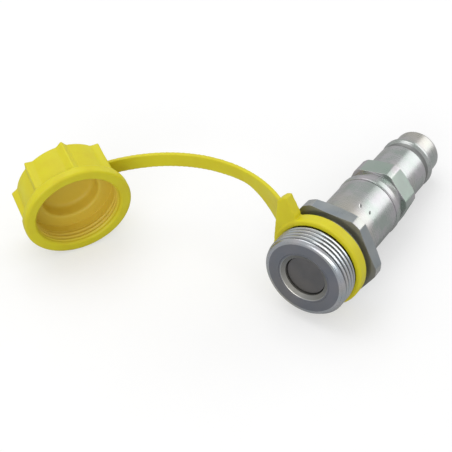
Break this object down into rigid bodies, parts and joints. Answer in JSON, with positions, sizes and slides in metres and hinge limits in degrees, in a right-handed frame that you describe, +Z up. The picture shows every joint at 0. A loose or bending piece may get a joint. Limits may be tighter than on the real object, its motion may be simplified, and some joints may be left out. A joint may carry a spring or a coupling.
{
  "type": "threaded hydraulic adapter with dust cap",
  "caption": "Hydraulic adapter with a male metric thread, two hexagons, a push-in coupling tip and a soft screw dust cap on its strap.",
  "frame": {"origin": "on the floor, at the middle of the footprint of the adapter and its cap together", "axes": "+Z up; +Y is the level heading of the adapter's axis, from the threaded end towards the coupling tip; -X is the side where the cap lies"},
  "size_m": [0.1484, 0.1404, 0.0479],
  "materials": {
    "plated_steel": "zinc plated, satin",
    "valve_steel": "turned, fine rings",
    "spring_steel": "bright wire",
    "seal_rubber": "smooth",
    "backup_plastic": "smooth",
    "cap_plastic": "soft, satin"
  },
  "bodies": {
    "adapter": {"front_body": "plated_steel", "rear_body": "plated_steel", "front_seat_ring": "plated_steel", "front_bore_seal": "seal_rubber", "front_spring": "spring_steel", "front_valve_guide": "valve_steel", "front_guide_clip": "spring_steel", "joint_seal": "seal_rubber", "joint_backup_ring": "backup_plastic", "rear_spring": "spring_steel", "rear_valve_guide": "valve_steel", "rear_guide_clip": "spring_steel"},
    "front_valve": {"front_poppet": "valve_steel", "front_poppet_seal": "seal_rubber"},
    "rear_valve": {"rear_poppet": "valve_steel", "rear_poppet_seal": "seal_rubber"},
    "cap": {"dust_cap": "cap_plastic"}
  },
  "joints": [
    {"name": "front_valve_slide", "type": "slide", "parent": "adapter", "child": "front_valve", "axis": [0, 0.9933, -0.1157], "range_m": [0, 0.006], "stiffness_N_per_m": 1000, "springref_m": -0.008, "deforming": ["front_spring"]},
    {"name": "rear_valve_slide", "type": "slide", "parent": "adapter", "child": "rear_valve", "axis": [0, -0.9933, 0.1157], "range_m": [0, 0.005], "stiffness_N_per_m": 800, "springref_m": -0.006, "deforming": ["rear_spring"]},
    {"name": "cap_band_swivel", "type": "hinge", "parent": "adapter", "child": "cap", "pos_m": [0.0522, -0.02088, 0.02117], "axis": [0, 0.9933, -0.1157], "continuous": true}
  ]
}
